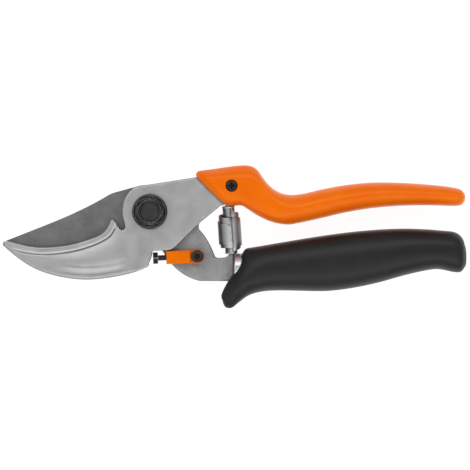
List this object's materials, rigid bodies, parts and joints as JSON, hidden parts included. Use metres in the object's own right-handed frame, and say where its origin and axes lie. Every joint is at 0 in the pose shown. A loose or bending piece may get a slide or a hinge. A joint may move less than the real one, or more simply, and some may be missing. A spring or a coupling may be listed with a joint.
{
  "type": "pruning shears",
  "caption": "Bypass pruning shears with a hooked counter-blade, a curved cutting blade, a volute spring, a lock lever and two grips.",
  "frame": {"origin": "centre of the pivot bolt head's flat outer face, on the pivot axis", "axes": "+X from the pivot towards the handles, +Y from the lower grip towards the upper grip, +Z along the pivot axis from the bolt head to the nut"},
  "size_m": [0.2172, 0.0668, 0.0219],
  "materials": {
    "forged_steel": "shot-blasted, satin clear coat",
    "arm_steel": "shot-blasted forging",
    "blade_steel": "dark coated, ground edge",
    "black_hardware": "black oxide",
    "plain_steel": "turned steel",
    "spring_steel": "rolled strip, satin",
    "orange_plastic": "moulded glass-filled nylon, semi-gloss",
    "orange_lever": "moulded, semi-gloss",
    "black_rubber": "soft-touch, matt",
    "black_nylon": "moulded nylon core"
  },
  "bodies": {
    "frame": {"counter_blade_frame": "forged_steel", "stop_pin": "plain_steel", "pivot_bolt": "black_hardware", "pivot_nut": "black_hardware", "pivot_bushing": "plain_steel", "pivot_washer": "plain_steel", "upper_grip": "orange_plastic", "upper_grip_screw": "black_hardware", "upper_grip_nut": "plain_steel", "upper_spring_stud": "plain_steel", "volute_spring": "spring_steel"},
    "arm": {"lower_arm": "arm_steel", "cutting_blade": "blade_steel", "blade_rivets": "plain_steel", "lower_spring_stud": "plain_steel", "lower_grip": "black_rubber", "lower_grip_core": "black_nylon", "lever_washer": "plain_steel", "lever_pivot_screw": "black_hardware"},
    "lever": {"lock_lever": "orange_lever", "lever_adjusting_screw": "black_hardware"}
  },
  "joints": [
    {"name": "blade_pivot", "type": "hinge", "parent": "frame", "child": "arm", "pos_m": [0, 0, 0.0102], "axis": [0, 0, -1], "range_deg": [0, 24], "deforming": ["volute_spring"]},
    {"name": "lever_pivot", "type": "hinge", "parent": "arm", "child": "lever", "pos_m": [0.0223, -0.0209, 0.0128], "axis": [0, 0, 1], "range_deg": [0, 96]}
  ],
  "couplings": [
    {"joint": "lever_pivot", "follows": "blade_pivot", "ratio": 4}
  ]
}
